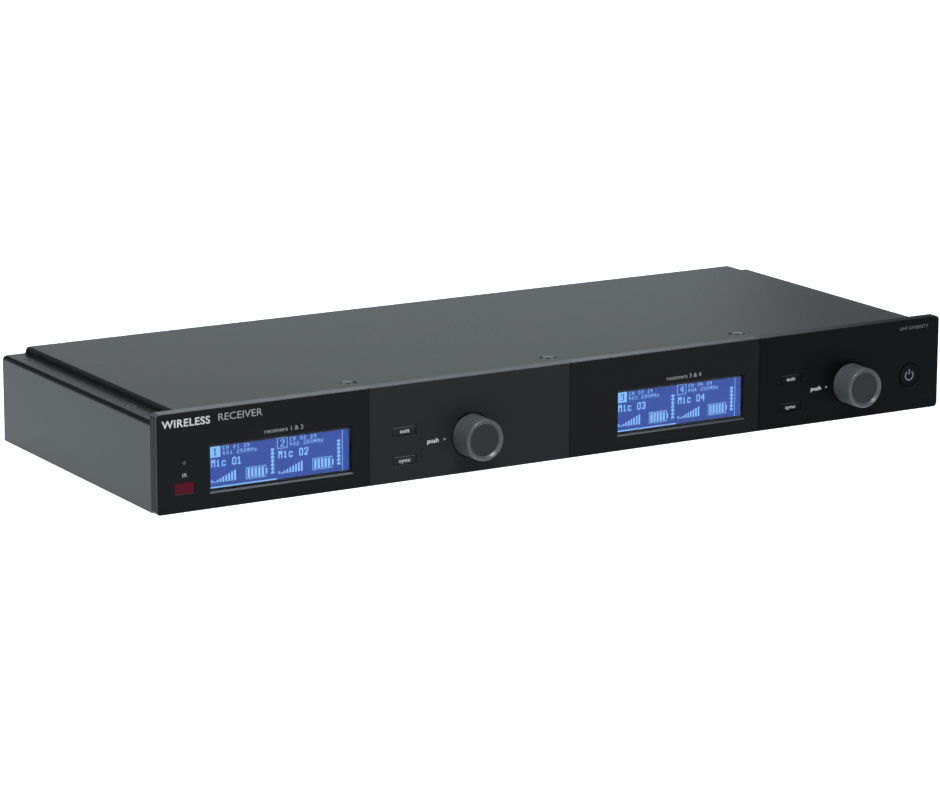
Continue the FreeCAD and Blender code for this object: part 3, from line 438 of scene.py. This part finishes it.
INK_LIFT = 0.03 * MM
CAPITAL_SHARE = 0.7
BOX_FACES = (
    (0, 1, 3, 2), (4, 6, 7, 5), (0, 4, 5, 1), (2, 3, 7, 6), (0, 2, 6, 4), (1, 5, 7, 3))


def piece_from(name, mesh, material, body):
    """Link a mesh as a piece that rides on a body and takes the given material."""
    mesh.materials.clear()
    mesh.materials.append(material)
    piece = bpy.data.objects.new(name, mesh)
    scene.collection.objects.link(piece)
    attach(piece, body)
    return piece


def add_box(bm, low, high):
    """A closed box between two corners."""
    spots = [
        (x, y, z)
        for x in (low[0], high[0]) for y in (low[1], high[1]) for z in (low[2], high[2])]
    corners = [bm.verts.new(spot) for spot in spots]
    for face in BOX_FACES:
        bm.faces.new([corners[index] for index in face])


def finished_mesh(bm, name):
    bmesh.ops.recalc_face_normals(bm, faces=bm.faces)
    mesh = bpy.data.meshes.new(name)
    bm.to_mesh(mesh)
    bm.free()
    return mesh


def lettering(name, words, height, spot, material, body, slot, rear=False, bold=0.0,
              align="CENTER", squeeze=1.0, spread=1.0):
    """Printed words as a thin closed mesh. height is the capital height; spot is (x, y, z)."""
    curve = bpy.data.curves.new(name, "FONT")
    curve.body = words
    curve.align_x = align
    curve.align_y = "CENTER"
    curve.size = height / CAPITAL_SHARE
    curve.offset = bold
    curve.space_character = spread
    curve.extrude = INK_LIFT / 2
    holder = bpy.data.objects.new(name, curve)
    scene.collection.objects.link(holder)
    bpy.context.view_layer.update()
    evaluated = holder.evaluated_get(bpy.context.evaluated_depsgraph_get())
    mesh = bpy.data.meshes.new_from_object(evaluated)
    bpy.data.objects.remove(holder)
    upright = Euler((math.pi / 2, 0, math.pi if rear else 0)).to_matrix().to_4x4()
    stand = Matrix.Translation(Vector(spot)) @ upright
    mesh.transform(stand @ Matrix.Diagonal((squeeze, 1, 1, 1)))
    mesh.name = name
    piece_from(name, mesh, material, body)


# ---------------------------------------------------------------- screens

DOTS_WIDE, DOTS_HIGH = 240, 64
HALF_DOTS = 114
SCREEN_WIDE, SCREEN_HIGH = 64.4 * MM, 17.4 * MM

SMALL_FONT = {
    "0": "0110 1001 1001 1001 1001 0110", "1": "0010 0110 0010 0010 0010 0111",
    "2": "0110 1001 0001 0110 1000 1111", "3": "1110 0001 0110 0001 0001 1110",
    "4": "1010 1010 1010 1111 0010 0010", "5": "1111 1000 1110 0001 0001 1110",
    "8": "0110 1001 0110 1001 1001 0110", "C": "0111 1000 1000 1000 1000 0111",
    "H": "1001 1001 1111 1001 1001 1001", "M": "1001 1111 1111 1001 1001 1001",
    "z": "0000 0000 1111 0010 0100 1111", ".": "0000 0000 0000 0000 0000 0100",
    " ": "0000 0000 0000 0000 0000 0000",
}

NAME_FONT = {
    "M": "100001 110011 101101 101101 100001 100001 100001 100001 100001 100001 100001",
    "i": "000000 001000 000000 011000 001000 001000 001000 001000 001000 001000 011100",
    "c": "000000 000000 000000 011110 100001 100000 100000 100000 100000 100001 011110",
    " ": "000000 000000 000000 000000 000000 000000 000000 000000 000000 000000 000000",
    "0": "011110 100001 100001 100001 100001 100001 100001 100001 100001 100001 011110",
    "1": "001000 011000 101000 001000 001000 001000 001000 001000 001000 001000 111110",
    "2": "011110 100001 100001 000001 000001 000010 000100 001000 010000 100000 111111",
    "3": "011110 100001 000001 000001 000001 001110 000001 000001 000001 100001 011110",
    "4": "000010 000110 001010 010010 100010 100010 111111 000010 000010 000010 000010",
}


def stamp(lit, font, words, left, top, pitch, bold=False):
    """Set the dots of a row of characters; left and top are dot places from the top left."""
    for place, letter in enumerate(words):
        for row, bits in enumerate(font[letter].split()):
            for column, bit in enumerate(bits):
                if bit == "1":
                    x = left + place * pitch + column
                    lit.add((x, top + row))
                    if bold:
                        lit.add((x + 1, top + row))


def fill(lit, left, top, wide, high):
    lit.update((left + x, top + y) for x in range(wide) for y in range(high))


def frame_dots(lit, left, top, wide, high):
    fill(lit, left, top, wide, 1)
    fill(lit, left, top + high - 1, wide, 1)
    fill(lit, left, top, 1, high)
    fill(lit, left + wide - 1, top, 1, high)


def number_box(channel, left, chosen):
    """The channel's digit in a box: dark on a lit box for the chosen channel."""
    box_wide, box_high = 18, 17
    lit, digit = set(), set()
    stamp(digit, NAME_FONT, str(channel), left + 6, 3, 8, bold=True)
    if chosen:
        fill(lit, left, 0, box_wide, box_high)
        return lit - digit
    frame_dots(lit, left, 0, box_wide, box_high)
    return lit | digit


def signal_steps(lit, left):
    """A rising stair of signal strength with a small aerial beside it."""
    foot, step_pitch, step_wide = 56, 5, 3
    for step in range(8):
        high = 2 + 2 * step
        fill(lit, left + 6 + step * step_pitch, foot - high, step_wide, high)
    fill(lit, left + 1, 52, 4, 1)
    fill(lit, left + 2, 53, 2, 3)


def battery(lit, left):
    """A full battery: its case, its tip and five cells."""
    case_left, cell_pitch, cells = left + 61, 6, 5
    frame_dots(lit, case_left, 39, 35, 18)
    fill(lit, case_left + 35, 44, 2, 8)
    for cell in range(cells):
        fill(lit, case_left + 3 + cell * cell_pitch, 41, 4, 14)


def level_meter(lit, left):
    """An upright audio level meter with seven marks."""
    top, mark_pitch, marks = 15, 6, 7
    fill(lit, left + 106, top, 2, 39)
    for mark in range(marks):
        fill(lit, left + 104, top + mark * mark_pitch, 6, 3)


def channel_dots(channel, left, chosen):
    """Everything that one receiver channel shows in its half of the screen."""
    lit = number_box(channel, left, chosen)
    stamp(lit, SMALL_FONT, f"CH 0{channel} 24", left + 22, 1, 6)
    stamp(lit, SMALL_FONT, f"48{channel}.250MHz", left + 22, 9, 6)
    for lower in (0, 1):
        stamp(lit, NAME_FONT, f"Mic 0{channel}", left + 2, 20 + lower, 9, bold=True)
    signal_steps(lit, left)
    battery(lit, left)
    level_meter(lit, left)
    if chosen:
        fill(lit, left, DOTS_HIGH - 2, HALF_DOTS, 2)
    return lit


def screen_dots(first_channel):
    """The lit dots of one screen: two channels and the line at the right end."""
    lit = channel_dots(first_channel, 0, chosen=True)
    lit |= channel_dots(first_channel + 1, HALF_DOTS + 1, chosen=False)
    fill(lit, 2 * HALF_DOTS, 0, 1, DOTS_HIGH)
    return {(x, y) for x, y in lit if 0 <= x < DOTS_WIDE and 0 <= y < DOTS_HIGH}


def make_screen(side, first_channel, ground, ink):
    """The lit screen: a blue ground sheet with raised square dots."""
    sheet_thick, sheet_edge = 0.04 * MM, 0.02 * MM
    dot_gap, dot_lift, dot_sink = 0.045, 0.03 * MM, 0.002 * MM
    glass_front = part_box(f"lcd_glass_{side}")[0].y
    centre = middle(f"lcd_bezel_{side}")
    left, top = centre.x - SCREEN_WIDE / 2, centre.z + SCREEN_HIGH / 2
    face = glass_front - sheet_thick
    bm = bmesh.new()
    add_box(
        bm, (left + sheet_edge, face, top - SCREEN_HIGH + sheet_edge),
        (left + SCREEN_WIDE - sheet_edge, glass_front - sheet_edge / 4, top - sheet_edge))
    piece_from(f"screen_ground_{side}", finished_mesh(bm, "ground"), ground, "root")
    step_x, step_z = SCREEN_WIDE / DOTS_WIDE, SCREEN_HIGH / DOTS_HIGH
    bm = bmesh.new()
    for column, row in sorted(screen_dots(first_channel)):
        low = (
            left + (column + dot_gap) * step_x, face - dot_lift,
            top - (row + 1 - dot_gap) * step_z)
        high = (
            left + (column + 1 - dot_gap) * step_x, face - dot_sink,
            top - (row + dot_gap) * step_z)
        add_box(bm, low, high)
    piece_from(f"screen_dots_{side}", finished_mesh(bm, "dots"), ink, "root")


# ---------------------------------------------------------------- printed legends

PRINT_HEIGHT = 1.85 * MM
KEY_WORDS = (("exit", 1.2), ("sync", 1.3))
SCREEN_WORDS = {"left": "receivers 1 & 2", "right": "receivers 3 & 4"}


def print_front(name, words, height, x, z, ink, **style):
    """Words printed on the front panel's face."""
    spot = (x, FRONT - INK_LIFT / 2, z)
    lettering(name, words, height, spot, ink, "root", "panel_black", **style)


def make_title(ink, soft_ink):
    """The words at the panel's top left, and the label of the infra-red window."""
    print_front(
        "legend_title_bold", "WIRELESS", 3.1 * MM, -HALF_WIDTH + 2.9 * MM, 37.2 * MM, ink,
        bold=0.1 * MM, align="LEFT", squeeze=1.06, spread=1.09)
    print_front(
        "legend_title_light", "RECEIVER", 3.0 * MM, -HALF_WIDTH + 27.9 * MM, 37.7 * MM, soft_ink,
        align="LEFT", squeeze=1.1, spread=1.02)
    print_front(
        "legend_ir", "IR", 1.6 * MM, middle("ir_window").x, 15.5 * MM, soft_ink,
        bold=0.03 * MM, squeeze=1.2)


def make_side_legends(side, ink, soft_ink):
    """The labels round one screen, its knob and its two keys."""
    print_front(
        f"legend_channels_{side}", SCREEN_WORDS[side], PRINT_HEIGHT,
        middle(f"display_lens_{side}").x + 0.8 * MM, 29.3 * MM, soft_ink, squeeze=1.12)
    knob = middle(f"knob_{side}")
    print_front(
        f"legend_push_{side}", "push", PRINT_HEIGHT, knob.x - 18.9 * MM, 15.85 * MM, ink,
        bold=0.06 * MM, squeeze=1.15)
    make_arrow(f"legend_arrow_{side}", knob.x - 13.1 * MM, 15.95 * MM, soft_ink)
    for word, stretch in KEY_WORDS:
        low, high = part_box(f"{word}_button_{side}")
        spot = ((low.x + high.x) / 2, low.y - INK_LIFT / 2, (low.z + high.z) / 2 - 0.1 * MM)
        lettering(
            f"legend_{word}_{side}", word, 1.65 * MM, spot, ink, f"{word}_{side}",
            "button_black", bold=0.03 * MM, squeeze=stretch, spread=1.05)


def make_arrow(name, x, z, ink):
    """Small filled triangle that points at the knob."""
    bm = bmesh.new()
    half, reach = 0.6 * MM, 1.25 * MM
    outline = [(x - reach / 2, z - half), (x + reach / 2, z), (x - reach / 2, z + half)]
    near = [bm.verts.new((px, FRONT - INK_LIFT, pz)) for px, pz in outline]
    deep = [bm.verts.new((px, FRONT - INK_LIFT / 8, pz)) for px, pz in outline]
    bm.faces.new(near)
    bm.faces.new(deep[::-1])
    for index in range(3):
        following = (index + 1) % 3
        bm.faces.new((near[index], deep[index], deep[following], near[following]))
    piece_from(name, finished_mesh(bm, name), ink, "root")


def make_power_symbol(ink):
    """Broken ring with an upright stroke, printed on the round button."""
    low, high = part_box("power_button")
    x, z = (low.x + high.x) / 2, (low.z + high.z) / 2
    inner, outer = 1.75 * MM, 2.4 * MM
    face, deep = low.y - 0.02 * MM, low.y + 0.33 * MM
    stroke_half, stroke_foot, stroke_top = 0.32 * MM, 0.4 * MM, 2.9 * MM
    opening = math.radians(38)
    turns = 40
    corners = ((inner, face), (outer, face), (outer, deep), (inner, deep))
    bm = bmesh.new()
    rings = []
    for index in range(turns + 1):
        angle = math.pi / 2 + opening + (2 * math.pi - 2 * opening) * index / turns
        across, up = math.cos(angle), math.sin(angle)
        rings.append([
            bm.verts.new((x + radius * across, y, z + radius * up)) for radius, y in corners])
    for first, second in zip(rings, rings[1:]):
        for index in range(4):
            following = (index + 1) % 4
            bm.faces.new((first[index], first[following], second[following], second[index]))
    bm.faces.new(rings[0][::-1])
    bm.faces.new(rings[-1])
    add_box(
        bm, (x - stroke_half, face, z + stroke_foot), (x + stroke_half, deep, z + stroke_top))
    piece_from("legend_power", finished_mesh(bm, "power"), ink, "power")


def make_right_end_legends(ink):
    """The symbol on the power button and the words at the panel's top right."""
    make_power_symbol(ink)
    print_front(
        "legend_band", "UHF DIVERSITY", 1.5 * MM, HALF_WIDTH - 14.3 * MM, 37.9 * MM, ink,
        squeeze=1.08)


LINE_JACK_WIDTH = 15 * MM
CHANNEL_PRINT = (3.2 * MM, 33 * MM)
ANTENNA_PRINT = (3 * MM, 27 * MM)
ANTENNA_PLACES = (("A", -184 * MM), ("A", -164 * MM), ("B", 74 * MM), ("B", 184 * MM))


def row_centres(node, count, width):
    """Centres along X of pieces of one width that are spaced evenly in one node."""
    low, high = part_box(node)
    step = (high.x - low.x - width) / (count - 1)
    return [low.x + width / 2 + step * index for index in range(count)]


def make_rear_legends(ink):
    """Channel numbers over the line jacks, and antenna letters, on the rear panel."""
    def print_rear(name, words, x, size_and_level):
        height, level = size_and_level
        lettering(
            name, words, height, (x, REAR + INK_LIFT / 2, level), ink, "root", "case_paint",
            rear=True, bold=0.04 * MM)

    for number, x in enumerate(row_centres("line_jacks", 4, LINE_JACK_WIDTH), start=1):
        print_rear(f"legend_rear_channel_{number}", str(number), x, CHANNEL_PRINT)
    for number, (letter, x) in enumerate(ANTENNA_PLACES, start=1):
        print_rear(f"legend_rear_antenna_{number}", letter, x, ANTENNA_PRINT)


# ---------------------------------------------------------------- studio

COOL = (0.91, 1.0, 1.055, 1)

# name, place, aim, width and height, radiance
SOFT_LIGHTS = (
    ("softbox_top", (0.67, 0.86, 1.56), (0, 0, 0), (1.2, 0.9), 6.0),
    ("softbox_back", (0.86, 1.9, 0.36), (0, 0, 0.1), (1.05, 0.62), 0.45),
    ("softbox_left", (-1.7, -0.9, 0.9), (-0.1, 0, 0.02), (0.8, 0.7), 2.5),
    ("softbox_front", (-0.22, -0.45, 0.95), (-0.03, -0.1, 0), (0.4, 0.3), 40.0),
)

CAMERA_SPOT = (-0.8625, -1.440, 0.398)
CAMERA_PITCH = 0.2253
CAMERA_YAW = 0.5370
CAMERA_ROLL = 0.0028
LENS = 148.7


def make_floor():
    """A large pale floor that glows slightly, as a lit table does, so that shadows stay faint.

    It is open under the unit, where nothing shows from above, so the underside can be seen.
    """
    reach, inset, drop, glow = 9.0, 2.6 * MM, 0.02 * MM, 1.2
    rectangles = (
        (-reach, -reach, reach, reach),
        (-HALF_WIDTH + inset, FRONT + inset, HALF_WIDTH - inset, REAR - inset))
    bm = bmesh.new()
    outer, inner = [
        [bm.verts.new((x, y, -drop)) for x, y in ((x0, y0), (x1, y0), (x1, y1), (x0, y1))]
        for x0, y0, x1, y1 in rectangles]
    for index in range(4):
        following = (index + 1) % 4
        bm.faces.new((outer[index], outer[following], inner[following], inner[index]))
    mesh = finished_mesh(bm, "floor")
    paint = Paint("studio_floor", (0.35, 0.35, 0.35, 1), 0.9, specular=0.1)
    paint.set("Emission Color", COOL)
    paint.set("Emission Strength", glow)
    mesh.materials.append(paint.material)
    floor = bpy.data.objects.new("studio_floor", mesh)
    scene.collection.objects.link(floor)


def soft_light(name, spot, aim, size, radiance):
    """A rectangular softbox of the given radiance at spot, turned towards aim."""
    lamp = bpy.data.lights.new(name, "AREA")
    lamp.shape = "RECTANGLE"
    lamp.size, lamp.size_y = size
    lamp.energy = radiance * math.pi * size[0] * size[1]
    lamp.color = COOL[:3]
    holder = bpy.data.objects.new(name, lamp)
    holder.location = spot
    holder.rotation_euler = (Vector(aim) - Vector(spot)).to_track_quat("-Z", "Y").to_euler()
    holder.visible_camera = False
    scene.collection.objects.link(holder)


def make_sky():
    """A plain studio surround: pale near the horizon, dim overhead."""
    heights, strengths = (0.1, 0.4), (0.45, 0.05)
    world = bpy.data.worlds.new("studio")
    world.use_nodes = True
    tree = world.node_tree
    background = tree.nodes["Background"]
    where = tree.nodes.new("ShaderNodeTexCoord")
    axes = tree.nodes.new("ShaderNodeSeparateXYZ")
    fade = tree.nodes.new("ShaderNodeMapRange")
    fade.interpolation_type = "SMOOTHSTEP"
    limits = ("From Min", "From Max", "To Min", "To Max")
    for socket, limit in zip(limits, (*heights, *strengths)):
        fade.inputs[socket].default_value = limit
    tree.links.new(where.outputs["Generated"], axes.inputs[0])
    tree.links.new(axes.outputs["Z"], fade.inputs["Value"])
    tree.links.new(fade.outputs["Result"], background.inputs["Strength"])
    background.inputs["Color"].default_value = COOL
    scene.world = world


def make_camera():
    """Long lens from the front left, a little above the unit."""
    data = bpy.data.cameras.new("camera")
    data.lens = LENS
    data.sensor_width = 36
    data.clip_end = 60
    holder = bpy.data.objects.new("camera", data)
    aim = Euler((math.pi / 2 - CAMERA_PITCH, 0, -CAMERA_YAW)).to_matrix()
    holder.rotation_euler = (aim @ Euler((0, 0, CAMERA_ROLL)).to_matrix()).to_euler()
    holder.location = CAMERA_SPOT
    scene.collection.objects.link(holder)
    scene.camera = holder
    scene.view_settings.view_transform = "Standard"


# ---------------------------------------------------------------- assembly

def print_ink(name, colour):
    return textured(name, colour, 0.6, 0.2 * MM, 0.004 * MM, specular=0.2).material


dress_nodes(make_finishes())
screen_ground = glowing("screen_blue", srgb(50, 72, 148), 1.0).material
screen_ink = glowing("screen_lit_dots", srgb(132, 186, 240), 1.0, tone=0.04).material
ink = print_ink("white_print", srgb(168, 166, 162))
soft_ink = print_ink("pale_print", srgb(126, 125, 122))
faint_ink = print_ink("grey_print", srgb(88, 90, 93))
make_screen("left", 1, screen_ground, screen_ink)
make_screen("right", 3, screen_ground, screen_ink)
make_title(ink, soft_ink)
make_side_legends("left", ink, soft_ink)
make_side_legends("right", ink, soft_ink)
make_right_end_legends(faint_ink)
make_rear_legends(ink)
make_floor()
make_sky()
for light in SOFT_LIGHTS:
    soft_light(*light)
make_camera()
